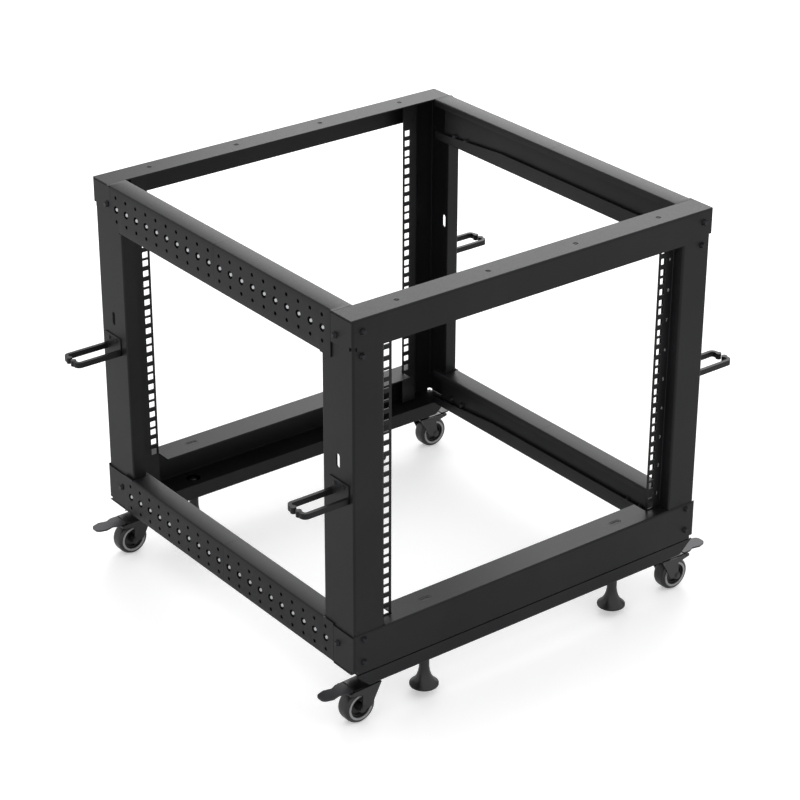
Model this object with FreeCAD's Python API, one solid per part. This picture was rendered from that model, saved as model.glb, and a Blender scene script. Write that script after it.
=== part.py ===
"""Four post open frame rack, 19 inch, 9 units, on locking casters and levelling feet.

Millimetres, +Z up, floor at Z = 0, origin on the floor at the middle of the footprint.
+X runs to the right along the front, -Y is the front, so the four quarters of the frame
mirror each other.  Everything is modelled at the front left and mirrored into place.
"""
import FreeCAD
import Part
import math
import os

Vector = FreeCAD.Vector

# ---- the 19 inch rail standard --------------------------------------------------------
rack_unit = 44.45
units_high = 9
hole_offsets_in_unit = (6.35, 22.225, 38.10)
rail_hole_spacing = 465.1
rail_hole_inset = 7.55
rail_hole_side = 9.5

# ---- overall frame --------------------------------------------------------------------
frame_width = 600.0
frame_depth = 600.0
sheet = 2.0
bend_radius = 1.0
opening_above_units = 3.0

# ---- posts ----------------------------------------------------------------------------
rail_recess = 20.0
rail_width = 25.0
post_depth = 65.0
post_lip = 20.0
post_end_clearance = 1.5
slot_length = 20.0
slot_width = 7.0
slot_height_above_first_unit = 242.0

# ---- front and rear beams -------------------------------------------------------------
top_beam_height = 42.0
top_beam_flange = 40.0
bottom_beam_height = 60.0
bottom_beam_flange = 44.0
tab_length = 45.0
relief_width = 7.0
relief_height = 6.0
top_hole_radius = 3.5
top_hole_inner_x = 73.0
top_hole_outer_x = 218.0
notch_clearance = 1.0

# ---- side beams, two telescoping halves -----------------------------------------------
side_beam_height = 60.0
side_beam_flange = 28.0
side_beam_lip = 8.0
side_beam_seam_gap = 0.5
telescope_overlap = 100.0
perforation_pitch = 25.0
perforation_columns = 20
perforation_radius = 4.5

# ---- caster bars ----------------------------------------------------------------------
caster_bar_height = 21.5
caster_bar_end_taper = 24.0

# ---- casters --------------------------------------------------------------------------
swivel_inset = 37.0
caster_trail = 18.0
wheel_radius = 24.0
wheel_width = 18.0
tread_shoulder = 3.0
hub_radius = 16.0
hub_face_width = 14.0
hub_rim = 3.0
hub_boss_wall = 3.0
hub_end_play = 0.3
axle_radius = 3.0
axle_running_gap = 0.05
axle_head = 2.0
wheel_side_gap = 5.0
wheel_bridge_gap = 5.5
fork_sheet = 2.0
fork_bridge_sheet = 2.5
fork_bridge_inward = 12.0
fork_bridge_outward = 14.0
stem_radius = 5.0
stem_length = 12.0
stem_running_gap = 0.05
swivel_disc_radius = 13.0
swivel_height = 5.5
pedal_thickness = 2.5
pedal_width = 26.0
pedal_length = 46.0
pedal_pin_radius = 2.0
pedal_barrel_radius = 4.0
pedal_pin_ahead = 17.0
pedal_wheel_gap = 5.0

# ---- levelling feet -------------------------------------------------------------------
foot_x = 168.0
foot_radius = 21.0
foot_pad_height = 5.0
foot_bell_height = 22.0
foot_neck_radius = 9.0
foot_rod_radius = 5.0
foot_rod_gap = 0.05
foot_ground_gap = 10.0
foot_rod_rise = 22.5
foot_nut_radius = 9.0
foot_nut_height = 8.0
foot_rod_clearance = 6.0

# ---- cable rings ----------------------------------------------------------------------
ring_reach = 70.0
ring_width = 50.0
ring_bar_width = 8.0
ring_bar_height = 6.0
ring_corner_radius = 9.0
ring_height_above_first_unit = 194.0
ring_plate_width = 36.0
ring_plate_height = 36.0
ring_plate_thickness = 3.0

# ---- derived planes -------------------------------------------------------------------
half_width = frame_width / 2
half_depth = frame_depth / 2
outer_radius = bend_radius + sheet
bridge_z = 2 * wheel_radius + wheel_bridge_gap
bar_base_z = bridge_z + fork_bridge_sheet + swivel_height
beam_base_z = bar_base_z + caster_bar_height
first_unit_height = beam_base_z + bottom_beam_height
top_z = first_unit_height + units_high * rack_unit + opening_above_units + top_beam_height
rail_y = -half_depth + rail_recess
front_post_outer = half_width - sheet
rear_post_outer = half_width - 2 * sheet
post_face_y = -half_depth + sheet
post_back_y = post_face_y + post_depth
rail_edge_x = rail_hole_spacing / 2 - rail_hole_inset
return_x = rail_edge_x + rail_width
post_bottom_z = beam_base_z + 2 * sheet + post_end_clearance
post_top_z = top_z - 2 * sheet - post_end_clearance
bar_y = -half_depth + bottom_beam_flange / 2
swivel_x = -half_width + swivel_inset
ring_y = (post_face_y + post_back_y) / 2
wheel_x = -caster_trail
pedal_pin_x = wheel_x - pedal_pin_ahead
pedal_pin_z = wheel_radius + math.sqrt((wheel_radius + pedal_wheel_gap + pedal_barrel_radius) ** 2
                                       - pedal_pin_ahead ** 2)
foot_y = bar_y


def strip_face(points, thickness, radius, place):
    """Face of a bent sheet: points follow its outer skin, the metal lies to their right."""
    directions = []
    for a, b in zip(points, points[1:]):
        length = math.hypot(b[0] - a[0], b[1] - a[1])
        directions.append(((b[0] - a[0]) / length, (b[1] - a[1]) / length))
    outer = []
    inner = []
    for i, point in enumerate(points):
        before = directions[max(i - 1, 0)]
        after = directions[min(i, len(directions) - 1)]
        normal_a = (before[1], -before[0])
        normal_b = (after[1], -after[0])
        share = 1 + normal_a[0] * normal_b[0] + normal_a[1] * normal_b[1]
        step = thickness / share
        inner.append((point[0] + step * (normal_a[0] + normal_b[0]),
                      point[1] + step * (normal_a[1] + normal_b[1])))
        turn = before[0] * after[1] - before[1] * after[0]
        outer.append((point, 0 if abs(turn) < 1e-9 else (radius + thickness if turn < 0 else radius)))
        inner[-1] = (inner[-1], 0 if abs(turn) < 1e-9 else (radius if turn < 0 else radius + thickness))
    loop = outer + inner[::-1]
    return rounded_face(loop, place)


def rounded_face(loop, place):
    """Face inside a closed outline of (point, corner radius) pairs."""
    count = len(loop)
    edges = []
    starts = []
    for i in range(count):
        (corner, radius) = loop[i]
        before = loop[i - 1][0]
        after = loop[(i + 1) % count][0]
        if radius == 0:
            starts.append((corner, corner, None))
            continue
        to_before = unit_step(corner, before)
        to_after = unit_step(corner, after)
        cosine = to_before[0] * to_after[0] + to_before[1] * to_after[1]
        reach = radius / math.tan(math.acos(cosine) / 2)
        tangent_in = (corner[0] + reach * to_before[0], corner[1] + reach * to_before[1])
        tangent_out = (corner[0] + reach * to_after[0], corner[1] + reach * to_after[1])
        bisector = unit_step((0, 0), (to_before[0] + to_after[0], to_before[1] + to_after[1]))
        to_arc = math.hypot(reach, radius) - radius
        middle = (corner[0] + to_arc * bisector[0], corner[1] + to_arc * bisector[1])
        starts.append((tangent_in, tangent_out, middle))
    for i in range(count):
        tangent_in, tangent_out, middle = starts[i]
        if middle is not None:
            edges.append(Part.Arc(place(*tangent_in), place(*middle), place(*tangent_out)).toShape())
        following = starts[(i + 1) % count][0]
        if math.hypot(following[0] - tangent_out[0], following[1] - tangent_out[1]) > 1e-6:
            edges.append(Part.LineSegment(place(*tangent_out), place(*following)).toShape())
    return Part.Face(Part.Wire(edges))


def unit_step(a, b):
    """Unit vector from a to b."""
    length = math.hypot(b[0] - a[0], b[1] - a[1])
    return ((b[0] - a[0]) / length, (b[1] - a[1]) / length)


def box(low, high):
    """Box between two corners."""
    size = [h - l for l, h in zip(low, high)]
    return Part.makeBox(size[0], size[1], size[2], Vector(*low))


def cylinder(radius, start, axis, length):
    """Cylinder from start along axis."""
    return Part.makeCylinder(radius, length, Vector(*start), Vector(*axis))


def slot(length, width, centre, long_axis, through_axis, depth):
    """Round-ended slot cutter, centred on centre and running depth along through_axis."""
    long_axis = Vector(*long_axis)
    through_axis = Vector(*through_axis)
    across = through_axis.cross(long_axis)
    origin = Vector(*centre) - through_axis * (depth / 2)
    half = length / 2 - width / 2
    corners = [origin + long_axis * (s * half) + across * (t * width / 2)
               for s, t in ((-1, -1), (1, -1), (1, 1), (-1, 1))]
    tips = [origin + long_axis * (s * length / 2) for s in (1, -1)]
    edges = [Part.LineSegment(corners[0], corners[1]).toShape(),
             Part.Arc(corners[1], tips[0], corners[2]).toShape(),
             Part.LineSegment(corners[2], corners[3]).toShape(),
             Part.Arc(corners[3], tips[1], corners[0]).toShape()]
    return Part.Face(Part.Wire(edges)).extrude(through_axis * depth)


def mirrored(shape, to_right, to_rear):
    """Front left shape moved to another quarter of the frame."""
    if to_right:
        shape = shape.mirror(Vector(0, 0, 0), Vector(1, 0, 0))
    if to_rear:
        shape = shape.mirror(Vector(0, 0, 0), Vector(0, 1, 0))
    return shape


def unit_hole_heights():
    """Heights of the square mounting holes, bottom to top."""
    return [first_unit_height + unit * rack_unit + offset
            for unit in range(units_high) for offset in hole_offsets_in_unit]


def perforation_ys():
    """Column positions along a side beam, front to rear."""
    start = -perforation_pitch * (perforation_columns - 1) / 2
    return [start + perforation_pitch * k for k in range(perforation_columns)]


def post(outer_x):
    """Upright bent from one sheet: slotted rail, return, face, side wall and lip."""
    skin = [(-rail_edge_x, rail_y), (-return_x, rail_y), (-return_x, post_face_y),
            (-outer_x, post_face_y), (-outer_x, post_back_y), (-outer_x + post_lip, post_back_y)]
    face = strip_face(skin, sheet, bend_radius, lambda u, v: Vector(u, v, post_bottom_z))
    body = face.extrude(Vector(0, 0, post_top_z - post_bottom_z))
    hole_x = -rail_hole_spacing / 2
    half = rail_hole_side / 2
    cutters = [box((hole_x - half, rail_y - sheet, z - half), (hole_x + half, rail_y + 2 * sheet, z + half))
               for z in unit_hole_heights()]
    slot_centre = (-outer_x, ring_y, first_unit_height + slot_height_above_first_unit)
    cutters.append(slot(slot_length, slot_width, slot_centre, (0, 0, 1), (1, 0, 0), 4 * sheet))
    return body.cut(Part.makeCompound(cutters))


def end_tabs(low_z, high_z, half_length):
    """Tabs folded back from both ends of a front beam's web over the post's side wall."""
    tabs = []
    for side in (-1, 1):
        low = min(side * half_length, side * (half_length - sheet))
        tabs.append(box((low, -half_depth, low_z), (low + sheet, -half_depth + tab_length, high_z)))
    return tabs


def round_tab_bends(half_length, low_z, high_z):
    """Cutters that round the outer corner of the fold between web and tab."""
    cutters = []
    for side in (-1, 1):
        centre = (side * (half_length - outer_radius), -half_depth + outer_radius)
        xs = sorted((centre[0], side * (half_length + 1)))
        corner = box((xs[0], -half_depth - 1, low_z - 1), (xs[1], centre[1], high_z + 1))
        round_bar = cylinder(outer_radius, (centre[0], centre[1], low_z - 2), (0, 0, 1), high_z - low_z + 4)
        cutters.append(corner.cut(round_bar))
    return cutters


def bend_reliefs(half_length, low_z, upward):
    """Notches at the foot of each folded corner."""
    cutters = []
    for side in (-1, 1):
        low = min(side * (half_length - relief_width), side * (half_length + sheet))
        cutters.append(box((low, -half_depth - sheet, low_z - sheet),
                           (low + relief_width + sheet, -half_depth + relief_width, low_z + upward)))
    return cutters


def top_beam(half_length):
    """Front top beam: web, top flange with four holes, and a tab at each end."""
    low_z = top_z - top_beam_height
    skin = [(-half_depth, low_z), (-half_depth, top_z), (-half_depth + top_beam_flange, top_z)]
    face = strip_face(skin, sheet, bend_radius, lambda u, v: Vector(-half_length, u, v))
    body = face.extrude(Vector(2 * half_length, 0, 0))
    body = body.fuse(end_tabs(low_z, top_z - outer_radius, half_length)).removeSplitter()
    hole_y = -half_depth + top_beam_flange / 2
    cutters = [cylinder(top_hole_radius, (x, hole_y, top_z - 2 * sheet), (0, 0, 1), 4 * sheet)
               for x in (-top_hole_outer_x, -top_hole_inner_x, top_hole_inner_x, top_hole_outer_x)]
    cutters += bend_reliefs(half_length, low_z, relief_height)
    cutters += round_tab_bends(half_length, low_z, top_z)
    return body.cut(Part.makeCompound(cutters))


def bottom_beam(half_length, post_outer):
    """Front bottom beam: channel with tabs, slots over the levelling feet, notched round the posts."""
    high_z = first_unit_height
    skin = [(-half_depth + bottom_beam_flange, beam_base_z), (-half_depth, beam_base_z),
            (-half_depth, high_z), (-half_depth + bottom_beam_flange, high_z)]
    face = strip_face(skin, sheet, bend_radius, lambda u, v: Vector(-half_length, u, v))
    body = face.extrude(Vector(2 * half_length, 0, 0))
    body = body.fuse(end_tabs(beam_base_z + outer_radius, high_z - outer_radius, half_length)).removeSplitter()
    cutters = []
    for side in (-1, 1):
        for inner_x, from_y in ((rail_edge_x - notch_clearance, rail_y - notch_clearance),
                                (return_x - notch_clearance, post_face_y)):
            xs = sorted((side * inner_x, side * (half_length + sheet)))
            cutters.append(box((xs[0], from_y, high_z - outer_radius), (xs[1], 0, high_z + sheet)))
        cutters.append(slot(slot_length, slot_width + 2, (side * foot_x, foot_y, high_z),
                            (1, 0, 0), (0, 0, 1), 4 * sheet))
        cutters.append(cylinder(foot_rod_radius + foot_rod_clearance,
                                (side * foot_x, foot_y, beam_base_z - sheet), (0, 0, 1), 3 * sheet))
    cutters += bend_reliefs(half_length, beam_base_z, relief_height)
    cutters += round_tab_bends(half_length, beam_base_z, high_z)
    return body.cut(Part.makeCompound(cutters))


def side_channel(low_z, high_z, outer_x, flange_x, lip_drop, y_range):
    """Straight length of lipped channel with its web facing outward."""
    skin = [(-flange_x, low_z + lip_drop), (-flange_x, low_z), (-outer_x, low_z),
            (-outer_x, high_z), (-flange_x, high_z), (-flange_x, high_z - lip_drop)]
    face = strip_face(skin, sheet, bend_radius, lambda u, v: Vector(u, y_range[0], v))
    return face.extrude(Vector(0, y_range[1] - y_range[0], 0))


def side_half(low_z, high_z, nested, level, beam_flange):
    """Half of a side beam; the nested half slides inside the other and carries the rear post."""
    step = sheet if nested else 0
    web_end = half_depth - tab_length - side_beam_seam_gap
    flange_end = half_depth - beam_flange - side_beam_seam_gap
    y_range = (-telescope_overlap, flange_end) if nested else (-flange_end, 0)
    low = low_z + step
    high = high_z - step
    outer_x = half_width - step
    flange_x = half_width - side_beam_flange + step
    body = side_channel(low, high, outer_x, flange_x, side_beam_lip - step, y_range)
    side = 1 if nested else -1
    post_edge = abs(post_back_y) - notch_clearance
    if level == "top":
        notch_z = (low - 1, low + side_beam_lip)
        web_z = (low - 1, high - sheet)
    else:
        notch_z = (high - side_beam_lip, high + 1)
        web_z = (low + sheet, high + 1)
    cutters = []
    for cut_x, cut_z, from_y in (((-half_width - 1, -outer_x + sheet), web_z, web_end),
                                 ((-half_width - 1, -outer_x + outer_radius), (low - 1, high + 1), web_end),
                                 ((-outer_x + sheet, -flange_x + 1), notch_z, post_edge)):
        ys = sorted((side * from_y, side * half_depth))
        cutters.append(box((cut_x[0], ys[0], cut_z[0]), (cut_x[1], ys[1], cut_z[1])))
    centre_z = (low_z + high_z) / 2
    for y in perforation_ys():
        if y_range[0] < y < y_range[1]:
            cutters.append(cylinder(perforation_radius, (-half_width - sheet, y, centre_z), (1, 0, 0), 4 * sheet))
    return body.cut(Part.makeCompound(cutters))


def caster_bar():
    """Upward channel under a bottom beam, ends cut back at a slant, with nuts for the feet."""
    back_y = -half_depth + bottom_beam_flange
    skin = [(back_y, beam_base_z), (back_y, bar_base_z), (-half_depth, bar_base_z), (-half_depth, beam_base_z)]
    face = strip_face(skin, sheet, bend_radius, lambda u, v: Vector(-front_post_outer, u, v))
    body = face.extrude(Vector(2 * front_post_outer, 0, 0))
    turns = [math.radians(60 * k) for k in range(7)]
    for side in (-1, 1):
        nut = Part.makePolygon([Vector(side * foot_x + foot_nut_radius * math.cos(turn),
                                       foot_y + foot_nut_radius * math.sin(turn), bar_base_z + sheet)
                                for turn in turns])
        body = body.fuse(Part.Face(nut).extrude(Vector(0, 0, foot_nut_height)))
    cutters = []
    for side in (-1, 1):
        end = side * front_post_outer
        bevel = end - side * caster_bar_end_taper
        beyond = end + side * 5
        outline = ((bevel, bar_base_z), (end, beam_base_z), (beyond, beam_base_z), (beyond, bar_base_z - 1),
                   (bevel, bar_base_z - 1), (bevel, bar_base_z))
        wedge = Part.makePolygon([Vector(x, -half_depth - 1, z) for x, z in outline])
        cutters.append(Part.Face(wedge).extrude(Vector(0, bottom_beam_flange + 2, 0)))
        cutters.append(cylinder(foot_rod_radius + foot_rod_gap, (side * foot_x, foot_y, bar_base_z - sheet),
                                (0, 0, 1), foot_nut_height + 4 * sheet))
        cutters.append(cylinder(stem_radius + stem_running_gap, (side * swivel_x, bar_y, bar_base_z - sheet),
                                (0, 0, 1), 4 * sheet))
    return body.cut(Part.makeCompound(cutters))


def fork():
    """Swivelling fork: bridge, two cheeks round the axle, pedal pin, swivel disc and stem."""
    top = bridge_z + fork_bridge_sheet
    leg_y = wheel_width / 2 + wheel_side_gap
    outer_y = leg_y + fork_sheet
    body = box((-fork_bridge_outward, -outer_y, bridge_z), (fork_bridge_inward, outer_y, top))
    outline = [((fork_bridge_inward, top), 0), ((-fork_bridge_outward, top), 0), ((pedal_pin_x - 6, top), 4),
               ((pedal_pin_x - 5, top - 8), 3), ((wheel_x - 7, wheel_radius - 3), 3),
               ((wheel_x, wheel_radius - 9), 5), ((wheel_x + 8, wheel_radius - 3), 3),
               ((fork_bridge_inward, bridge_z - 8), 6)]
    for start_y in (-outer_y, leg_y):
        cheek = rounded_face(outline, lambda u, v: Vector(u, start_y, v)).extrude(Vector(0, fork_sheet, 0))
        body = body.fuse(cheek)
    body = body.fuse(cylinder(axle_radius, (wheel_x, -outer_y - axle_head, wheel_radius),
                              (0, 1, 0), 2 * (outer_y + axle_head)))
    body = body.fuse(cylinder(pedal_pin_radius, (pedal_pin_x, -outer_y, pedal_pin_z), (0, 1, 0), 2 * outer_y))
    body = body.fuse(cylinder(swivel_disc_radius, (0, 0, top), (0, 0, 1), swivel_height))
    body = body.fuse(cylinder(stem_radius, (0, 0, bar_base_z), (0, 0, 1), stem_length))
    return body.removeSplitter()


def pedal():
    """Brake pedal: waisted plate with a rounded tip, carried by a barrel on the hinge pin."""
    root_x = pedal_pin_x + pedal_barrel_radius
    tip_x = root_x - pedal_length
    half = pedal_width / 2
    waist = half - 4
    loop = [((root_x, -half), 2), ((root_x, half), 2), ((pedal_pin_x - 8, half), 4),
            ((pedal_pin_x - 16, waist), 4), ((tip_x + 14, half - 1), 6), ((tip_x, half - 5), 7),
            ((tip_x, -half + 5), 7), ((tip_x + 14, -half + 1), 6), ((pedal_pin_x - 16, -waist), 4),
            ((pedal_pin_x - 8, -half), 4)]
    plate_z = pedal_pin_z + pedal_barrel_radius - pedal_thickness
    plate = rounded_face(loop, lambda u, v: Vector(u, v, plate_z)).extrude(Vector(0, 0, pedal_thickness))
    body = plate.fuse(cylinder(pedal_barrel_radius, (pedal_pin_x, -half, pedal_pin_z), (0, 1, 0), pedal_width))
    bore = cylinder(pedal_pin_radius + axle_running_gap, (pedal_pin_x, -half - 1, pedal_pin_z),
                    (0, 1, 0), pedal_width + 2)
    return body.cut(bore)


def revolved(profile, centre, axis):
    """Solid of revolution; profile holds (radius, height) pairs along the axis."""
    axis = Vector(*axis)
    side = Vector(1, 0, 0) if abs(axis.x) < 0.5 else Vector(0, 1, 0)
    points = [Vector(*centre) + side * r + axis * h for r, h in profile]
    wire = Part.makePolygon(points + [points[0]])
    return Part.Face(wire).revolve(Vector(*centre), axis, 360)


def both_ends(half_profile):
    """Profile completed by its mirror image about the wheel's middle plane."""
    return [(r, -h) for r, h in half_profile] + half_profile[::-1]


def tyre():
    """Tread ring with rounded shoulders."""
    half = wheel_width / 2
    profile = both_ends([(hub_radius, half - 2), (hub_radius + 2, half - 0.5),
                         (wheel_radius - tread_shoulder, half), (wheel_radius - 0.8, half - 1.5),
                         (wheel_radius, half - 4)])
    return revolved(profile, (wheel_x, 0, wheel_radius), (0, 1, 0))


def hub():
    """Wheel centre with a rim, a recessed web and a boss on the axle."""
    half = hub_face_width / 2
    bore = axle_radius + axle_running_gap
    boss = wheel_width / 2 + wheel_side_gap - hub_end_play
    profile = both_ends([(bore, boss), (bore + hub_boss_wall, boss), (bore + hub_boss_wall, half - hub_rim),
                         (hub_radius - hub_rim - 1, half - hub_rim), (hub_radius - hub_rim, half),
                         (hub_radius, half)])
    return revolved(profile, (wheel_x, 0, wheel_radius), (0, 1, 0))


def levelling_foot():
    """Bell-shaped foot on a threaded rod, hanging clear of the floor."""
    base = foot_ground_gap
    rod_top = bar_base_z + foot_rod_rise
    profile = [(0, base), (foot_radius - 1, base), (foot_radius, base + 1), (foot_radius, base + foot_pad_height),
               (foot_radius - 4, base + foot_pad_height + 3), (foot_neck_radius + 2, base + foot_bell_height - 4),
               (foot_neck_radius, base + foot_bell_height), (foot_rod_radius, base + foot_bell_height + 1),
               (foot_rod_radius, rod_top - 1), (foot_rod_radius - 1, rod_top), (0, rod_top)]
    return revolved(profile, (-foot_x, foot_y, 0), (0, 0, 1))


def cable_ring(outer_x):
    """Flat rectangular loop standing out from a small plate on the post's side wall."""
    middle_z = first_unit_height + ring_height_above_first_unit
    low_z = middle_z - ring_bar_height / 2
    far_x = -outer_x - ring_reach
    inside_x = -outer_x - ring_plate_thickness
    hole_x = far_x + ring_bar_width
    half = ring_width / 2
    hole_half = half - ring_bar_width
    inner_radius = ring_corner_radius - ring_bar_width
    loop = [((-outer_x, -half), 0), ((-outer_x, half), 0),
            ((far_x, half), ring_corner_radius), ((far_x, -half), ring_corner_radius)]
    hole = [((inside_x, -hole_half), 0), ((inside_x, hole_half), 0),
            ((hole_x, hole_half), inner_radius), ((hole_x, -hole_half), inner_radius)]
    body = rounded_face(loop, lambda u, v: Vector(u, ring_y + v, low_z)).extrude(Vector(0, 0, ring_bar_height))
    opening = rounded_face(hole, lambda u, v: Vector(u, ring_y + v, low_z - 1))
    body = body.cut(opening.extrude(Vector(0, 0, ring_bar_height + 2)))
    plate = box((inside_x, ring_y - ring_plate_width / 2, middle_z - ring_plate_height / 2),
                (-outer_x, ring_y + ring_plate_width / 2, middle_z + ring_plate_height / 2))
    return body.fuse(plate).removeSplitter()


def build():
    """All pieces by node name."""
    parts = {}
    bottom = (beam_base_z, first_unit_height)
    top = (top_z - side_beam_height, top_z)
    for end, to_rear in (("front", False), ("rear", True)):
        outer_x = rear_post_outer if to_rear else front_post_outer
        half_length = outer_x + sheet
        parts["beam_top_" + end] = mirrored(top_beam(half_length), False, to_rear)
        parts["beam_bottom_" + end] = mirrored(bottom_beam(half_length, outer_x), False, to_rear)
        parts["caster_bar_" + end] = mirrored(caster_bar(), False, to_rear)
        for side, to_right in (("left", False), ("right", True)):
            corner = end + "_" + side
            parts["post_" + corner] = mirrored(post(outer_x), to_right, to_rear)
            parts["cable_ring_" + corner] = mirrored(cable_ring(outer_x), to_right, to_rear)
            parts["levelling_foot_" + corner] = mirrored(levelling_foot(), to_right, to_rear)
            place = Vector(swivel_x, bar_y, 0)
            for name, maker in (("fork", fork), ("tyre", tyre), ("hub", hub), ("pedal", pedal)):
                shape = maker()
                shape.translate(place)
                parts["caster_" + name + "_" + corner] = mirrored(shape, to_right, to_rear)
    for level, heights, beam_flange in (("top", top, top_beam_flange), ("bottom", bottom, bottom_beam_flange)):
        for half, nested in (("outer", False), ("inner", True)):
            for side, to_right in (("left", False), ("right", True)):
                shape = side_half(heights[0], heights[1], nested, level, beam_flange)
                parts["side_beam_%s_%s_%s" % (level, side, half)] = mirrored(shape, to_right, False)
    return parts


os.makedirs("parts", exist_ok=True)
for name, shape in build().items():
    if len(shape.Solids) == 1:
        shape = shape.Solids[0]
    if not shape.isValid() or len(shape.Solids) != 1:
        print("check", name, "solids", len(shape.Solids), "valid", shape.isValid())
    shape.exportStep("parts/" + name + ".step")
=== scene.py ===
"""Four post open frame rack: finishes, side beams, cable loops, fasteners, casters, feet, numbers, studio.

Metres, +Z up, floor at Z = 0, front towards -Y, in the CAD model's own frame.
"""

import math

import bmesh
import bpy
from mathutils import Matrix, Vector


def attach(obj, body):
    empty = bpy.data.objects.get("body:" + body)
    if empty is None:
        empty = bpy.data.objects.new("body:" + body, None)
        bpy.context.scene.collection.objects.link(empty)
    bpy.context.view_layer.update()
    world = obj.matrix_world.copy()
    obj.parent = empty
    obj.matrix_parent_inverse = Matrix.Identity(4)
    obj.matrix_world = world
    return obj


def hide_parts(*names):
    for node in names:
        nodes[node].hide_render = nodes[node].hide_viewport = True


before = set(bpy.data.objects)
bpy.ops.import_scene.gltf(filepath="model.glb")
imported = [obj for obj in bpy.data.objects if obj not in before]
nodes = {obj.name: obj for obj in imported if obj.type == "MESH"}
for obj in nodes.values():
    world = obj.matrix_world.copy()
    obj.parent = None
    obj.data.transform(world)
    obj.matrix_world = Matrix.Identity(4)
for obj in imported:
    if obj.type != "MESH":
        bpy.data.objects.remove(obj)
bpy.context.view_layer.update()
mm = 0.001

# ---- the rack's own sizes, in millimetres ---------------------------------------------
rack_unit = 44.45
units_high = 9
first_unit_height = 143.0
top_height = 588.05
half_width = 300.0
half_depth = 300.0
sheet = 2.0
bend_radius = 1.0
hair_gap = 0.02
rail_face_y = 280.0
corners = [(end + "_" + side, -1 if side == "left" else 1, -1 if end == "front" else 1)
           for end in ("front", "rear") for side in ("left", "right")]

# side beams: lower edge, upper edge, and how far the flanges run from the middle of the side
side_beam_spans = {"top": (top_height - 64.0, top_height, 259.5),
                   "bottom": (first_unit_height - 60.0, first_unit_height, 255.5)}
side_flange = 32.0
side_lip = 9.5
sill_step = 3.0
sill_height = 23.0
sill_end_height = 13.5
sill_taper = (110.0, 232.0)
telescope_seam = 0.25
post_notch = 232.0
post_lip_tip = 277.0
tab_end = 254.5
slide_wall = 275.4
slide_flange = 14.0
slide_end = 243.0

# holes of the side beams
perforation_pitch = 25.0
perforation_columns = 20
side_row_heights = {"top": top_height - 30.0, "bottom": first_unit_height - 30.0}
small_row_offset = 17.5
large_hole_radius = 5.5
small_hole_radius = 2.75
punch_length = 9.0

# cable loops
ring_y = 269.0
ring_height = 337.0
ring_tip = 368.0
ring_half_width = 20.0
ring_bar = 5.0
ring_depth = 8.0
ring_bend_radius = 3.0
lobe_radius = 4.0
lobe_gap = 3.5
lobe_proud = 0.3
ring_plate = 1.5
ring_plate_rise = 22.0

# fasteners, plugs and numbers; a face bolt's height goes with how far in from the beams' face it sits
face_bolt_x = 284.0
face_bolts = ((571.0, 0.0), (537.5, sheet), (135.0, 0.0), (101.0, 0.0))
tab_bolt_y = 264.0
tab_bolt_heights = (558.0, 118.0)
wall_bolt_heights = (540.0, 104.5)
wall_bolt_ys = (217.0, 191.0)
ring_screw_spacing = 18.0
ring_screw_rise = 15.0
stud_back_lift = -1.2
stud_face_lift = -0.3
top_hole_places = (73.0, 218.0)
top_hole_from_edge = 20.0
slot_radius = 4.5
slot_half_travel = 5.5
number_x = 243.5
number_size = 6.5
number_relief = 0.04

# casters and feet
caster_y = 278.0
caster_bar_height = 61.5
swivel_x = 263.0
raceway_radius = 13.0
stem_radius = 5.0
stem_top = 73.5
wheel_x = 281.0
wheel_height = 24.0
wheel_width = 21.0
fork_sheet = 2.0
fork_bridge = 53.5
fork_bridge_sheet = 2.5
fork_half_gap = 14.0
fork_back = 12.0
axle_radius = 3.0
axle_end = 1.0
washer_radius = 5.0
washer_thickness = 0.6
pedal_pin = (298.0, 52.28)
pedal_pin_radius = 2.0
foot_x = 168.0


def post_outer(end_sign):
    """Outer side of a post: the rear pair sits one sheet further in."""
    return half_width - (sheet if end_sign < 0 else 2 * sheet)


# ---- materials ------------------------------------------------------------------------
def linear(colour):
    """sRGB hex colour as linear RGBA."""
    channels = [int(colour[i:i + 2], 16) / 255 for i in (1, 3, 5)]
    return [c / 12.92 if c <= 0.04045 else ((c + 0.055) / 1.055) ** 2.4 for c in channels] + [1.0]


def add(tree, kind, links=None, **settings):
    """Adds a node: settings are its properties, links its inputs, each a value or another node's output."""
    node = tree.nodes.new(kind)
    for name, value in settings.items():
        setattr(node, name, value)
    for name, value in (links or {}).items():
        if isinstance(value, bpy.types.NodeSocket):
            tree.links.new(value, node.inputs[name])
        else:
            node.inputs[name].default_value = value
    return node


def start_material(name, **surface):
    """New material with constant shader values, its tree, shader and object coordinates."""
    material = bpy.data.materials.new(name)
    material.use_nodes = True
    tree = material.node_tree
    shader = tree.nodes["Principled BSDF"]
    for socket, value in surface.items():
        shader.inputs[socket.replace("_", " ")].default_value = value
    place = add(tree, "ShaderNodeTexCoord").outputs["Object"]
    return material, tree, shader, place


def mottle(tree, shader, place, grain, dark, light, detail=2.0, stops=(0.0, 1.0)):
    """Lets the colour wander between two tones over grain millimetres, and returns the pattern's strength."""
    pattern = add(tree, "ShaderNodeTexNoise", {"Vector": place, "Scale": 1 / (grain * mm), "Detail": detail})
    tone = add(tree, "ShaderNodeValToRGB", {"Fac": pattern.outputs["Fac"]})
    for element, position, colour in zip(tone.color_ramp.elements, stops, (dark, light)):
        element.position = position
        element.color = linear(colour)
    tree.links.new(tone.outputs["Color"], shader.inputs["Base Color"])
    return pattern.outputs["Fac"]


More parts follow.
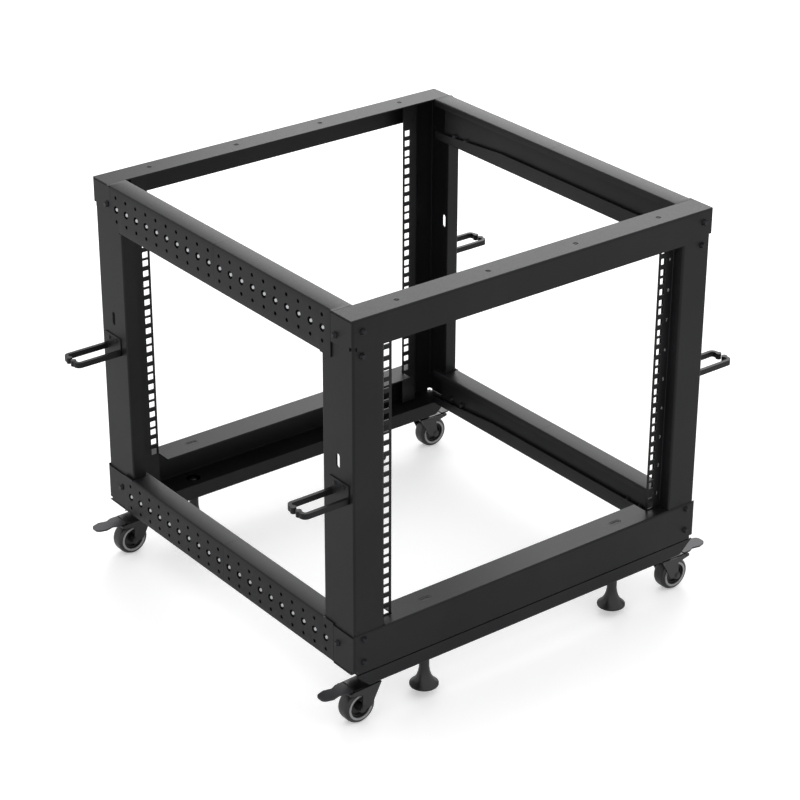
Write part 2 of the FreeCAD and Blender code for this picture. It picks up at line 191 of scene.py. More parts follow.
def powder_coated_steel():
    """Baked powder coat on bent sheet: satin black with a fine orange peel that breaks up highlights."""
    material, tree, shader, place = start_material("powder_coated_steel", Metallic=0.0, IOR=1.5)
    shader.inputs["Specular IOR Level"].default_value = 0.2
    # film thickness drifts over a hand's width, so the black is never quite even
    mottle(tree, shader, place, 90, "#131315", "#19191b", detail=3.0, stops=(0.35, 0.7))
    # orange peel: real waves are 1 to 2 mm long
    peel = add(tree, "ShaderNodeTexNoise", {"Vector": place, "Scale": 1 / (1.6 * mm), "Detail": 2.0})
    gloss = add(tree, "ShaderNodeMapRange", {"Value": peel.outputs["Fac"], "To Min": 0.36, "To Max": 0.5})
    tree.links.new(gloss.outputs["Result"], shader.inputs["Roughness"])
    bump = add(tree, "ShaderNodeBump", {"Height": peel.outputs["Fac"], "Strength": 0.12,
                                        "Distance": 0.08 * mm})
    tree.links.new(bump.outputs["Normal"], shader.inputs["Normal"])
    return material


def black_zinc_steel():
    """Black-passivated zinc on bolts and nuts: darker and glossier than the coat round them."""
    material, tree, shader, place = start_material("black_zinc_steel", Metallic=0.7, Roughness=0.34)
    mottle(tree, shader, place, 4, "#1a1a1c", "#2c2c30")
    return material


def stamped_fork_steel():
    """Pressed caster fork with an electrophoretic black film: deep black, smoother than the frame's coat."""
    material, tree, shader, place = start_material("stamped_fork_steel", Metallic=0.0, IOR=1.5)
    worn = mottle(tree, shader, place, 9, "#0f0f10", "#19191b", detail=4.0)
    gloss = add(tree, "ShaderNodeMapRange", {"Value": worn, "To Min": 0.28, "To Max": 0.42})
    tree.links.new(gloss.outputs["Result"], shader.inputs["Roughness"])
    return material


def phosphated_pedal_steel():
    """Phosphated steel of the brake pedals: dark grey and matt, with a soft rolling grain across."""
    material, tree, shader, place = start_material("phosphated_pedal_steel", Metallic=0.35, Roughness=0.45)
    drawn_out = add(tree, "ShaderNodeMapping", {"Vector": place, "Scale": (0.15, 1.0, 1.0)})
    grain = mottle(tree, shader, drawn_out.outputs["Vector"], 1.2, "#2b2b2e", "#3a3a3e", detail=3.0)
    bump = add(tree, "ShaderNodeBump", {"Height": grain, "Strength": 0.1, "Distance": 0.05 * mm})
    tree.links.new(bump.outputs["Normal"], shader.inputs["Normal"])
    return material


def polyurethane_tread():
    """Cast black polyurethane: satin, with fine scuffs round the tread."""
    material, tree, shader, place = start_material("polyurethane_tread", Metallic=0.0, IOR=1.5)
    scuff = mottle(tree, shader, place, 3, "#141415", "#202022", detail=5.0)
    gloss = add(tree, "ShaderNodeMapRange", {"Value": scuff, "To Min": 0.3, "To Max": 0.5})
    tree.links.new(gloss.outputs["Result"], shader.inputs["Roughness"])
    return material


def moulded_polypropylene():
    """Injection-moulded wheel centre: almost black, with a faint mould texture."""
    material, tree, shader, place = start_material("moulded_polypropylene", Metallic=0.0, IOR=1.49,
                                                   Roughness=0.45)
    skin = mottle(tree, shader, place, 0.9, "#111112", "#1a1a1c")
    bump = add(tree, "ShaderNodeBump", {"Height": skin, "Strength": 0.15, "Distance": 0.05 * mm})
    tree.links.new(bump.outputs["Normal"], shader.inputs["Normal"])
    return material


def bright_zinc_steel():
    """Clear-passivated zinc on the studs in the side beams' middle row: small bright dots."""
    material, tree, shader, place = start_material("bright_zinc_steel", Metallic=1.0, Roughness=0.32)
    mottle(tree, shader, place, 1.5, "#a9abad", "#cfd1d3")
    return material


def moulded_nylon():
    """Black nylon of the hole plugs: matt, a shade greyer than the coat."""
    material, tree, shader, place = start_material("moulded_nylon", Metallic=0.0, IOR=1.53, Roughness=0.6)
    mottle(tree, shader, place, 0.7, "#18181a", "#222224")
    return material


def silver_grey_cover():
    """Silver-grey thread guard on the wheel's face: a thin mid-grey ring, the palest thing on a caster."""
    material, tree, shader, place = start_material("silver_grey_cover", Metallic=0.2, Roughness=0.38)
    mottle(tree, shader, place, 0.8, "#7e7e80", "#98989a")
    return material


def screen_printed_ink():
    """Pale grey ink of the unit numbers, a little broken where the coat's peel holds it off."""
    material, tree, shader, place = start_material("screen_printed_ink", Metallic=0.0, IOR=1.5, Roughness=0.6)
    mottle(tree, shader, place, 1.2, "#8a8a8c", "#b6b6b8")
    return material


coat = powder_coated_steel()
bolt_finish = black_zinc_steel()
fork_finish = stamped_fork_steel()
pedal_finish = phosphated_pedal_steel()
tread_finish = polyurethane_tread()
hub_finish = moulded_polypropylene()
cover_finish = silver_grey_cover()
stud_finish = bright_zinc_steel()
plug_finish = moulded_nylon()
ink = screen_printed_ink()

finish_of = {"caster_fork": fork_finish, "caster_pedal": pedal_finish, "caster_tyre": tread_finish,
             "caster_hub": hub_finish, "levelling_foot": fork_finish}
for name, node in nodes.items():
    finish = next((f for start, f in finish_of.items() if name.startswith(start)), coat)
    if not node.material_slots:
        node.data.materials.append(finish)
    for material_slot in node.material_slots:
        material_slot.material = finish


# ---- pieces ---------------------------------------------------------------------------
def new_piece(name, mesh, material, body):
    """Puts a finished mesh in the scene as a piece of that body."""
    mesh.materials.clear()
    mesh.materials.append(material)
    piece = bpy.data.objects.new(name, mesh)
    bpy.context.scene.collection.objects.link(piece)
    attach(piece, body)
    return piece


def bent_outline(skin, thickness, radius, steps=3):
    """Closed outline of sheet folded along its outer skin, metal on the right of travel."""
    skin = [Vector(p) for p in skin]
    runs = [(b - a).normalized() for a, b in zip(skin, skin[1:])]
    rights = [Vector((run.y, -run.x)) for run in runs]
    near, far = [skin[0]], [skin[0] + rights[0] * thickness]
    for corner, run, here, there in zip(skin[1:], runs, rights, rights[1:]):
        turn = run.x * there.x + run.y * there.y
        side = 1 if turn < 0 else -1
        reach = radius + (thickness if side > 0 else 0)
        centre = corner - run * reach + here * reach * side
        for k in range(steps + 1):
            swing = here.lerp(there, k / steps).normalized() * -side
            near.append(centre + swing * reach)
            far.append(centre + swing * (reach - side * thickness))
    last = skin[-1]
    return near + [last] + [last + rights[-1] * thickness] + far[::-1]


def rounded_loop(corners_and_radii, steps=4):
    """Closed outline through corners, each rounded by its own radius."""
    points = []
    count = len(corners_and_radii)
    for i, (corner, radius) in enumerate(corners_and_radii):
        here = Vector(corner)
        if radius == 0:
            points.append(here)
            continue
        before = (Vector(corners_and_radii[i - 1][0]) - here).normalized()
        after = (Vector(corners_and_radii[(i + 1) % count][0]) - here).normalized()
        half_angle = before.angle(after) / 2
        reach = radius / math.tan(half_angle)
        centre = here + (before + after).normalized() * (radius / math.sin(half_angle))
        start = here + before * reach - centre
        end = here + after * reach - centre
        points += [centre + start.slerp(end, k / steps) for k in range(steps + 1)]
    return points


def circle(radius, centre=(0, 0), sides=24):
    """Outline of a circle."""
    angles = [2 * math.pi * k / sides for k in range(sides)]
    return [(centre[0] + radius * math.cos(angle), centre[1] + radius * math.sin(angle)) for angle in angles]


def add_loft(merged, stations):
    """Adds a closed tube through stations, each a list of (x, y, z) in millimetres, with both ends capped."""
    loops = [[merged.verts.new(Vector(p) * mm) for p in station] for station in stations]
    count = len(loops[0])
    for low, high in zip(loops, loops[1:]):
        for i in range(count):
            merged.faces.new((low[i], low[(i + 1) % count], high[(i + 1) % count], high[i]))
    merged.faces.new(loops[0])
    merged.faces.new(loops[-1])


def add_prism(merged, outline, ends, place):
    """Adds an outline pushed from end to end; place turns an outline point and an end into (x, y, z)."""
    add_loft(merged, [[place(u, v, end) for u, v in outline] for end in ends])


def closed_mesh(name, merged):
    """Mesh of the gathered faces, facing outwards."""
    bmesh.ops.recalc_face_normals(merged, faces=merged.faces)
    mesh = bpy.data.meshes.new(name)
    merged.to_mesh(mesh)
    merged.free()
    return mesh


def smoothed(mesh, sharp_angle=30):
    """The same mesh, smooth but for its folds."""
    mesh.shade_smooth()
    mesh.set_sharp_from_angle(angle=math.radians(sharp_angle))
    return mesh


def revolved_piece(name, profile, centre, facing, material, body, segments=40):
    """Closed profile of (radius, height) pairs in millimetres turned about facing at centre."""
    turn = Vector((0, 0, 1)).rotation_difference(Vector(facing)).to_matrix().to_4x4()
    place = Matrix.Translation(Vector(centre) * mm) @ turn
    merged = bmesh.new()
    loops = []
    for k in range(segments):
        angle = 2 * math.pi * k / segments
        points = [Vector((r * math.cos(angle), r * math.sin(angle), h)) for r, h in profile]
        loops.append([merged.verts.new(place @ (point * mm)) for point in points])
    for here, there in zip(loops, loops[1:] + loops[:1]):
        for i in range(len(profile)):
            j = (i + 1) % len(profile)
            merged.faces.new((here[i], there[i], there[j], here[j]))
    return new_piece(name, smoothed(closed_mesh(name, merged), sharp_angle=35), material, body)


def head_tree():
    """Node tree that sets a socket-head fastener on every point, along that point's facing."""
    tree = bpy.data.node_groups.new("fastener_heads", "GeometryNodeTree")
    face = tree.interface
    face.new_socket("Geometry", in_out="INPUT", socket_type="NodeSocketGeometry")
    for name in ("Head Radius", "Head Height", "Socket Radius", "Flange Radius", "Flange Height"):
        face.new_socket(name, in_out="INPUT", socket_type="NodeSocketFloat")
    face.new_socket("Finish", in_out="INPUT", socket_type="NodeSocketMaterial")
    face.new_socket("Geometry", in_out="OUTPUT", socket_type="NodeSocketGeometry")
    given = add(tree, "NodeGroupInput").outputs
    crown_share, socket_share, flange_share = 0.7, 0.45, 0.94
    crown_radius = add(tree, "ShaderNodeMath", {0: given["Head Radius"], 1: crown_share},
                       operation="MULTIPLY")
    crown = add(tree, "GeometryNodeMeshCone", {"Vertices": 20, "Radius Top": crown_radius.outputs[0],
                                               "Radius Bottom": given["Head Radius"],
                                               "Depth": given["Head Height"]})
    socket_depth = add(tree, "ShaderNodeMath", {0: given["Head Height"], 1: socket_share},
                       operation="MULTIPLY")
    socket_place = add(tree, "ShaderNodeCombineXYZ", {"Z": socket_depth.outputs[0]})
    socket = add(tree, "GeometryNodeMeshCylinder", {"Vertices": 6, "Radius": given["Socket Radius"],
                                                    "Depth": given["Head Height"]})
    lifted = add(tree, "GeometryNodeTransform", {"Geometry": socket.outputs["Mesh"],
                                                 "Translation": socket_place.outputs[0]})
    bored = add(tree, "GeometryNodeMeshBoolean", {0: crown.outputs["Mesh"], 1: lifted.outputs["Geometry"]},
                operation="DIFFERENCE")
    flange_radius = add(tree, "ShaderNodeMath", {0: given["Flange Radius"], 1: flange_share},
                        operation="MULTIPLY")
    flange = add(tree, "GeometryNodeMeshCone", {"Vertices": 20, "Radius Top": flange_radius.outputs[0],
                                                "Radius Bottom": given["Flange Radius"],
                                                "Depth": given["Flange Height"]})
    head_place = add(tree, "ShaderNodeCombineXYZ", {"Z": given["Flange Height"]})
    raised = add(tree, "GeometryNodeTransform", {"Geometry": bored.outputs["Mesh"],
                                                 "Translation": head_place.outputs[0]})
    fastener = add(tree, "GeometryNodeJoinGeometry")
    tree.links.new(raised.outputs["Geometry"], fastener.inputs[0])
    tree.links.new(flange.outputs["Mesh"], fastener.inputs[0])
    facing = add(tree, "GeometryNodeInputNamedAttribute", {"Name": "facing"}, data_type="FLOAT_VECTOR")
    turned = add(tree, "FunctionNodeAlignRotationToVector", {"Vector": facing.outputs["Attribute"]}, axis="Z")
    placed = add(tree, "GeometryNodeInstanceOnPoints", {"Points": given["Geometry"],
                                                        "Instance": fastener.outputs[0],
                                                        "Rotation": turned.outputs["Rotation"]})
    real = add(tree, "GeometryNodeRealizeInstances", {"Geometry": placed.outputs["Instances"]})
    painted = add(tree, "GeometryNodeSetMaterial", {"Geometry": real.outputs["Geometry"],
                                                    "Material": given["Finish"]})
    add(tree, "NodeGroupOutput", {"Geometry": painted.outputs["Geometry"]})
    return tree


def run_tree(name, seed, tree, values):
    """Runs a node tree on a mesh and returns what it makes as a plain mesh."""
    carrier = bpy.data.objects.new(name + "_carrier", seed)
    bpy.context.scene.collection.objects.link(carrier)
    modifier = carrier.modifiers.new("repeat", "NODES")
    modifier.node_group = tree
    for item in tree.interface.items_tree:
        if item.item_type == "SOCKET" and item.in_out == "INPUT" and item.name in values:
            modifier[item.identifier] = values[item.name]
    evaluated = carrier.evaluated_get(bpy.context.evaluated_depsgraph_get())
    mesh = bpy.data.meshes.new_from_object(evaluated)
    mesh.name = name
    bpy.data.objects.remove(carrier)
    return mesh


def perforation_tree():
    """Node tree that punches a side beam's web: a row of large holes between two rows of small ones."""
    tree = bpy.data.node_groups.new("perforations", "GeometryNodeTree")
    face = tree.interface
    face.new_socket("Geometry", in_out="INPUT", socket_type="NodeSocketGeometry")
    for name in ("Web X", "First Y", "Row Z", "Pitch", "Row Gap", "Large Radius", "Small Radius"):
        face.new_socket(name, in_out="INPUT", socket_type="NodeSocketFloat")
    face.new_socket("Columns", in_out="INPUT", socket_type="NodeSocketInt")
    face.new_socket("Finish", in_out="INPUT", socket_type="NodeSocketMaterial")
    face.new_socket("Geometry", in_out="OUTPUT", socket_type="NodeSocketGeometry")
    given = add(tree, "NodeGroupInput").outputs
    step = add(tree, "ShaderNodeCombineXYZ", {"Y": given["Pitch"]})
    punches = add(tree, "GeometryNodeJoinGeometry")
    for rise, radius, sides in ((-1, "Small Radius", 14), (0, "Large Radius", 24), (1, "Small Radius", 14)):
        height = add(tree, "ShaderNodeMath", {0: given["Row Gap"], 1: rise, 2: given["Row Z"]},
                     operation="MULTIPLY_ADD")
        start = add(tree, "ShaderNodeCombineXYZ", {"X": given["Web X"], "Y": given["First Y"],
                                                   "Z": height.outputs[0]})
        row = add(tree, "GeometryNodeMeshLine", {"Count": given["Columns"], "Offset": step.outputs[0],
                                                 "Start Location": start.outputs[0]})
        punch = add(tree, "GeometryNodeMeshCylinder", {"Vertices": sides, "Radius": given[radius],
                                                       "Depth": punch_length * mm})
        across = add(tree, "GeometryNodeTransform", {"Geometry": punch.outputs["Mesh"],
                                                     "Rotation": (0, math.pi / 2, 0)})
        placed = add(tree, "GeometryNodeInstanceOnPoints", {"Points": row.outputs["Mesh"],
                                                            "Instance": across.outputs["Geometry"]})
        tree.links.new(placed.outputs["Instances"], punches.inputs[0])
    punched = add(tree, "GeometryNodeMeshBoolean", {0: given["Geometry"], 1: punches.outputs[0]},
                  operation="DIFFERENCE")
    real = add(tree, "GeometryNodeRealizeInstances", {"Geometry": punched.outputs["Mesh"]})
    painted = add(tree, "GeometryNodeSetMaterial", {"Geometry": real.outputs["Geometry"],
                                                    "Material": given["Finish"]})
    add(tree, "NodeGroupOutput", {"Geometry": painted.outputs["Geometry"]})
    return tree


def side_beam(level, side, half, punching):
    """Lipped channel of a side beam's half: web outside, short lip above, deep sill below."""
    low, high, flange_end = side_beam_spans[level]
    sx = -1 if side == "left" else 1
    sy = -1 if half == "outer" else 1
    flange_x = half_width - side_flange
    sill_x = flange_x + sill_step
    start = hair_gap if half == "inner" else telescope_seam
    merged = bmesh.new()

    def sill_top(y):
        """Top of the sill: level on the outer half, sinking towards the post on the inner one."""
        if half == "outer":
            return low + sill_height
        share = min(max((y - sill_taper[0]) / (sill_taper[1] - sill_taper[0]), 0), 1)
        return low + sill_height + (sill_end_height - sill_height) * share

    def strip(skin_at, *places):
        add_loft(merged, [[(sx * -u, sy * y, v) for u, v in bent_outline(skin_at(y), sheet, bend_radius)]
                          for y in places])

    upper = [(-half_width, high), (-flange_x, high), (-flange_x, high - side_lip)]
    upper_notched = [(-post_lip_tip, high)] + upper[1:]

    def lower(y, outer_x=half_width):
        return [(-sill_x, sill_top(y)), (-sill_x, low), (-outer_x, low)]

    strip(lambda y: lower(y) + upper, start, sill_taper[0], post_notch)
    # beyond post_notch the post stands in the channel, and the flange it meets is cut back to the post's lip;
    # beyond tab_end the tab of the front or rear beam takes the web's place
    past_notch = post_notch + hair_gap
    past_web = tab_end + hair_gap
    if level == "top":
        strip(lambda y: [(-half_width, low)] + upper, past_notch, tab_end)
        strip(lambda y: upper, past_web, flange_end)
        strip(lambda y: lower(y, post_lip_tip), past_notch, flange_end)
    else:
        strip(lambda y: lower(y) + [(-half_width, high)], past_notch, tab_end)
        strip(lambda y: lower(y), past_web, flange_end)
        strip(lambda y: upper_notched, past_notch, flange_end)
    name = "side_beam_%s_%s_%s" % (level, side, half)
    blank = smoothed(closed_mesh(name + "_blank", merged))
    columns = perforation_columns // 2
    first_y = perforation_pitch / 2 if half == "inner" else -perforation_pitch * (columns - 0.5)
    values = {"Web X": sx * (half_width - sheet / 2) * mm, "First Y": first_y * mm,
              "Row Z": side_row_heights[level] * mm, "Pitch": perforation_pitch * mm,
              "Row Gap": small_row_offset * mm, "Large Radius": large_hole_radius * mm,
              "Small Radius": small_hole_radius * mm, "Columns": columns, "Finish": coat}
    piece = new_piece(name + "_channel", run_tree(name, blank, punching, values), coat, "frame")
    smoothed(piece.data)
    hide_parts(name)


def slide(level, side):
    """Slide inside both halves of a side beam, its wall towards the bay."""
    low, high, _ = side_beam_spans[level]
    sx = -1 if side == "left" else 1
    tip = slide_wall + slide_flange
    upper, lower = high - sheet, low + sheet
    skin = [(-tip, upper), (-slide_wall, upper), (-slide_wall, lower), (-tip, lower)]
    merged = bmesh.new()
    add_prism(merged, bent_outline(skin, sheet, bend_radius), (-slide_end, slide_end),
              lambda u, v, y: (sx * -u, y, v))
    name = "side_slide_%s_%s" % (level, side)
    new_piece(name, smoothed(closed_mesh(name, merged)), coat, "frame")


punching = perforation_tree()
for level in side_beam_spans:
    for side in ("left", "right"):
        for half in ("outer", "inner"):
            side_beam(level, side, half, punching)
        slide(level, side)


def cable_loop(corner, sx, sy):
    """Flat loop beside a post: two arms bent towards each other, each ending in a round lobe."""
    base = post_outer(sy)
    lobe_y = lobe_gap / 2 + lobe_radius
    edges = (ring_height - ring_depth / 2, ring_height + ring_depth / 2)
    lobe_edges = (edges[0] - lobe_proud, edges[1] + lobe_proud)
    merged = bmesh.new()
    for turn in (-1, 1):
        def laid_flat(u, v, z):
            return sx * u, sy * ring_y + turn * v, z

        skin = [(base, ring_half_width), (ring_tip, ring_half_width), (ring_tip, lobe_y)]
        add_prism(merged, bent_outline(skin, ring_bar, ring_bend_radius, steps=5), edges, laid_flat)
        add_prism(merged, circle(lobe_radius, (ring_tip - ring_bar / 2, lobe_y)), lobe_edges, laid_flat)
    plate_face = base + ring_plate
    plate = [(base, -ring_half_width), (plate_face, -ring_half_width), (plate_face, ring_half_width),
             (base, ring_half_width)]
    add_prism(merged, plate, (edges[0], ring_height + ring_plate_rise),
              lambda u, v, z: (sx * u, sy * ring_y + v, z))
    name = "cable_loop_" + corner
    loop = new_piece(name, smoothed(closed_mesh(name, merged)), coat, "frame")
    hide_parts("cable_ring_" + corner)


for corner, sx, sy in corners:
    cable_loop(corner, sx, sy)


def frame_bolt_points():
    """Bolts that hold the frame: four up each corner's front or rear face, and two on its side tabs."""
    points = []
    for corner, sx, sy in corners:
        for z, inset in face_bolts:
            points.append((sx * face_bolt_x, sy * (half_depth - inset), z, (0, sy, 0)))
        for z in tab_bolt_heights:
            points.append((sx * (post_outer(sy) + sheet), sy * tab_bolt_y, z, (sx, 0, 0)))
    return points


def wall_bolt_points():
    """Bolts through the slide's wall near the post at each end of a side beam."""
    return [(sx * slide_wall, sy * y, z, (-sx, 0, 0))
            for corner, sx, sy in corners for z in wall_bolt_heights for y in wall_bolt_ys]


def ring_screw_points():
    """Two screws in each cable ring's plate."""
    return [(sx * (post_outer(sy) + ring_plate), sy * (ring_y + side * ring_screw_spacing / 2),
             ring_height + ring_screw_rise, (sx, 0, 0)) for corner, sx, sy in corners for side in (-1, 1)]


def stud_points(lift):
    """Middle-row studs of the side beams, lift millimetres out from the back of the web."""
    return [(sx * (half_width - sheet + lift), perforation_pitch * (k - (perforation_columns - 1) / 2), z,
             (sx, 0, 0))
            for sx in (-1, 1) for z in side_row_heights.values() for k in range(perforation_columns)]


def hole_plug_points():
    """Plugs in the four round holes of each top flange."""
    return [(side * x, sy * (half_depth - top_hole_from_edge), top_height - sheet, (0, 0, 1))
            for sy in (-1, 1) for x in top_hole_places for side in (-1, 1)]


def fasteners(name, points, finish, head, socket, flange):
    """One piece of fasteners on points, each (x, y, z, facing); head and flange are (radius, height).

    A fastener is centred on its flange, so its point lies half a flange height above the surface.
    """
    seed = bpy.data.meshes.new(name + "_points")
    seed.from_pydata([Vector(p[:3]) * mm for p in points], [], [])
    facing = seed.attributes.new("facing", "FLOAT_VECTOR", "POINT")
    for i, point in enumerate(points):
        facing.data[i].vector = point[3]
    values = {"Head Radius": head[0] * mm, "Head Height": head[1] * mm, "Socket Radius": socket * mm,
              "Flange Radius": flange[0] * mm, "Flange Height": flange[1] * mm, "Finish": finish}
    new_piece(name, run_tree(name, seed, heads, values), finish, "frame")


heads = head_tree()
bolt = {"finish": bolt_finish, "head": (4.2, 3.2), "socket": 1.7, "flange": (4.9, 1.0)}
fasteners("frame_bolts", frame_bolt_points(), **bolt)
fasteners("wall_bolts", wall_bolt_points(), **bolt)
fasteners("ring_screws", ring_screw_points(), bolt_finish, head=(2.6, 1.4), socket=1.1, flange=(3.4, 0.6))
fasteners("stud_backs", stud_points(stud_back_lift), bolt_finish,
          head=(4.2, 0.8), socket=2.2, flange=(7.2, 0.8))
fasteners("stud_faces", stud_points(stud_face_lift), stud_finish,
          head=(3.0, 1.0), socket=0.9, flange=(3.2, 0.5))
fasteners("top_hole_plugs", hole_plug_points(), plug_finish, head=(1.8, 0.5), socket=0.9, flange=(3.45, 1.4))


def wheel_cover_profile():
    """Raised ring with rounded edges, half sunk in the tyre's face."""
    return [(15.9, -0.6), (19.0, -0.6), (19.0, 0.1), (18.6, 0.5), (16.3, 0.5), (15.9, 0.1)]


for corner, sx, sy in corners:
    for face, end in ((-1, "front"), (1, "rear")):
        revolved_piece("wheel_cover_%s_%s" % (corner, end), wheel_cover_profile(),
                       (sx * wheel_x, sy * caster_y + face * wheel_width / 2, wheel_height),
                       (0, face, 0), cover_finish, "wheel_" + corner)


def tread_profile():
    """Crowned tread with rounded shoulders, a little wider than the wheel's centre."""
    half = wheel_width / 2
    side = [(16.0, half - 2), (17.5, half - 0.6), (20.6, half), (22.6, half - 1.2),
            (23.7, half - 3.4), (24.0, half - 6)]
    return [(r, -h) for r, h in side] + side[::-1]


def caster_fork(corner, sx, sy):
    """Swivelling fork: bridge, two cheeks that slant back to the axle, pedal arm, raceway and stem."""
    top = fork_bridge + fork_bridge_sheet
    lead = wheel_x - swivel_x
    pin = pedal_pin[0] - swivel_x
    arm = pin + 6
    arm_low = fork_bridge - 5.5
    cheek = rounded_loop([((-fork_back, top), 0), ((arm, top), 3), ((arm, arm_low), 3),
                          ((lead - 4, arm_low), 3), ((lead + 8, 27), 7), ((lead + 7, 15.5), 6),
                          ((lead - 7, 15.5), 6), ((lead - 9, 27), 6), ((-fork_back, fork_bridge - 10), 6)])
    bridge = [(-fork_back, fork_bridge), (arm - 12, fork_bridge), (arm - 12, top), (-fork_back, top)]
    bridge_end = fork_half_gap - hair_gap
    cheek_face = fork_half_gap + fork_sheet
    merged = bmesh.new()

    def from_the_side(u, v, y):
        return sx * (swivel_x + u), sy * caster_y + y, v

    def from_above(u, v, z):
        return sx * swivel_x + u, sy * caster_y + v, z

    def rod(radius, centre, start, end):
        add_prism(merged, circle(radius, centre), (start, end), from_the_side)

    add_prism(merged, cheek, (-cheek_face, -fork_half_gap), from_the_side)
    add_prism(merged, cheek, (fork_half_gap, cheek_face), from_the_side)
    add_prism(merged, bridge, (-bridge_end, bridge_end), from_the_side)
    rod(axle_radius, (lead, wheel_height), -cheek_face - axle_end, cheek_face + axle_end)
    for side in (-1, 1):
        rod(washer_radius, (lead, wheel_height), side * cheek_face, side * (cheek_face + washer_thickness))
    rod(pedal_pin_radius, (pin, pedal_pin[1]), -cheek_face - washer_thickness, cheek_face + washer_thickness)
    add_prism(merged, circle(raceway_radius), (top, caster_bar_height), from_above)
    add_prism(merged, circle(stem_radius), (caster_bar_height, stem_top), from_above)
    name = "fork_shell_" + corner
    fork = new_piece(name, smoothed(closed_mesh(name, merged)), fork_finish, "swivel_" + corner)
    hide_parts("caster_fork_" + corner)


for corner, sx, sy in corners:
    tread = revolved_piece("tread_" + corner, tread_profile(), (sx * wheel_x, sy * caster_y, wheel_height),
                           (0, 1, 0), tread_finish, "wheel_" + corner)
    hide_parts("caster_tyre_" + corner)
    caster_fork(corner, sx, sy)


def foot_profile():
    """Bell-shaped foot on its rod: wide pad, flare, long neck, and the rod up into the caster bar."""
    return [(0.0, 10.0), (18.6, 10.0), (20.0, 11.0), (20.0, 13.0), (17.2, 15.4), (14.0, 18.6), (10.6, 24.0),
            (8.2, 31.0), (7.0, 38.0), (7.0, 51.5), (5.0, 51.5), (5.0, 83.0), (4.0, 84.0), (0.0, 84.0)]


for corner, sx, sy in corners:
    foot = revolved_piece("foot_bell_" + corner, foot_profile(), (sx * foot_x, sy * caster_y, 0),
                          (0, 0, 1), fork_finish, "foot_" + corner)
    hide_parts("levelling_foot_" + corner)


def oval_plugs():
    """Recessed oval plugs in the slots of the bottom beams."""
    angles = [2 * math.pi * k / 32 for k in range(32)]
    merged = bmesh.new()
    for sx in (-1, 1):
        for sy in (-1, 1):
            rings = []
            for inset, z in ((0.1, -1.6), (0.1, -0.5), (0.8, -0.2), (2.2, -0.2), (2.6, -0.9)):
                radius = slot_radius - inset
                rings.append([(sx * foot_x + math.copysign(slot_half_travel, math.cos(angle))
                               + radius * math.cos(angle), sy * caster_y + radius * math.sin(angle),
                               first_unit_height + z) for angle in angles])
            add_loft(merged, rings)
    new_piece("slot_plugs", closed_mesh("slot_plugs", merged), plug_finish, "frame")


oval_plugs()


def number_mesh(number):
    """One printed number, lying flat about the origin."""
    text = bpy.data.curves.new("number", "FONT")
    text.body = str(number)
    text.size = number_size * mm
    text.align_x = "CENTER"
    text.align_y = "CENTER"
    text.extrude = number_relief * mm
    text.resolution_u = 3
    writer = bpy.data.objects.new("number", text)
    bpy.context.scene.collection.objects.link(writer)
    evaluated = writer.evaluated_get(bpy.context.evaluated_depsgraph_get())
    mesh = bpy.data.meshes.new_from_object(evaluated)
    bpy.data.objects.remove(writer)
    return mesh


def unit_numbers():
    """Unit numbers 1 to 9 beside the middle hole of each unit, on all four rails."""
    merged = bmesh.new()
    for corner, sx, sy in corners:
        turn = Matrix(((-sy, 0, 0), (0, 0, 1), (0, sy, 0))).transposed().to_4x4()
        for unit in range(units_high):
            place = Vector((sx * number_x, sy * (rail_face_y + hair_gap), first_unit_height
                            + (unit + 0.5) * rack_unit))
            mesh = number_mesh(unit + 1)
            mesh.transform(Matrix.Translation(place * mm) @ turn)
            merged.from_mesh(mesh)
            bpy.data.meshes.remove(mesh)
    mesh = bpy.data.meshes.new("unit_numbers")
    merged.to_mesh(mesh)
    merged.free()
    new_piece("unit_numbers", mesh, ink, "frame")


unit_numbers()


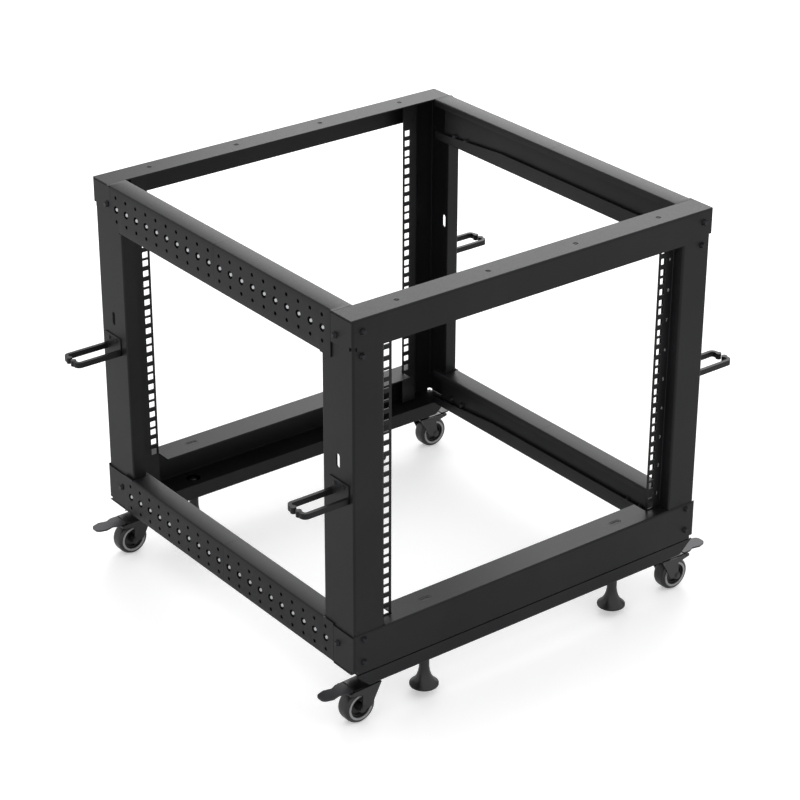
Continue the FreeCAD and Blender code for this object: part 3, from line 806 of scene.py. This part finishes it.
# ---- floor, light and camera ----------------------------------------------------------
def pale_floor():
    """Plain pale floor, nearly white to the camera, that still takes the rack's shadow."""
    mesh = bpy.data.meshes.new("floor")
    reach = 12
    edges = ((-reach, -reach), (reach, -reach), (reach, reach), (-reach, reach))
    mesh.from_pydata([(x, y, 0) for x, y in edges], [], [(0, 1, 2, 3)])
    floor = bpy.data.objects.new("floor", mesh)
    bpy.context.scene.collection.objects.link(floor)
    material = bpy.data.materials.new("pale_floor_paint")
    material.use_nodes = True
    tree = material.node_tree
    paint = tree.nodes["Principled BSDF"].inputs
    paint["Base Color"].default_value = linear("#f4f4f4")
    paint["Roughness"].default_value = 0.9
    # the camera alone sees the shadow lifted, as on an overexposed sweep
    seen = add(tree, "ShaderNodeLightPath").outputs["Is Camera Ray"]
    lift = add(tree, "ShaderNodeMath", {0: seen, 1: 0.3}, operation="MULTIPLY")
    paint["Emission Color"].default_value = linear("#ffffff")
    tree.links.new(lift.outputs[0], paint["Emission Strength"])
    mesh.materials.append(material)


def area_light(name, place, target, size, power):
    """Square soft box aimed at a point."""
    lamp = bpy.data.lights.new(name, "AREA")
    lamp.shape = "SQUARE"
    lamp.size = size
    lamp.energy = power
    holder = bpy.data.objects.new(name, lamp)
    holder.location = place
    holder.rotation_euler = (Vector(target) - Vector(place)).to_track_quat("-Z", "Y").to_euler()
    bpy.context.scene.collection.objects.link(holder)


def studio_world():
    """Even white surroundings."""
    world = bpy.data.worlds.new("studio")
    bpy.context.scene.world = world
    world.use_nodes = True
    world.node_tree.nodes["Background"].inputs["Color"].default_value = linear("#ffffff")
    world.node_tree.nodes["Background"].inputs["Strength"].default_value = 1.0


def camera(place, yaw, pitch, roll, focal_in_widths):
    """Camera at place looking along yaw and pitch, in degrees; focal length in image widths."""
    a, e, t = (math.radians(v) for v in (yaw, pitch, roll))
    back = Vector((math.sin(a) * math.cos(e), -math.cos(a) * math.cos(e), math.sin(e)))
    right = Vector((math.cos(a), math.sin(a), 0))
    up = back.cross(right)
    turned_right = math.cos(t) * right + math.sin(t) * up
    turned_up = -math.sin(t) * right + math.cos(t) * up
    lens = bpy.data.cameras.new("camera")
    lens.sensor_width = 36.0
    lens.lens = lens.sensor_width * focal_in_widths
    lens.clip_end = 60
    holder = bpy.data.objects.new("camera", lens)
    turn = Matrix((turned_right, turned_up, back)).transposed().to_4x4()
    holder.matrix_world = Matrix.Translation(Vector(place) * mm) @ turn
    bpy.context.scene.collection.objects.link(holder)
    bpy.context.scene.camera = holder


pale_floor()
studio_world()
area_light("back_softbox", place=(2.3, 2.3, 1.9), target=(0, 0, 0.5), size=2.2, power=45)
camera(place=(-1895.6, -2454.3, 1826.1), yaw=-37.753, pitch=26.597, roll=0.217, focal_in_widths=3.078875)
bpy.context.scene.view_settings.view_transform = "Standard"
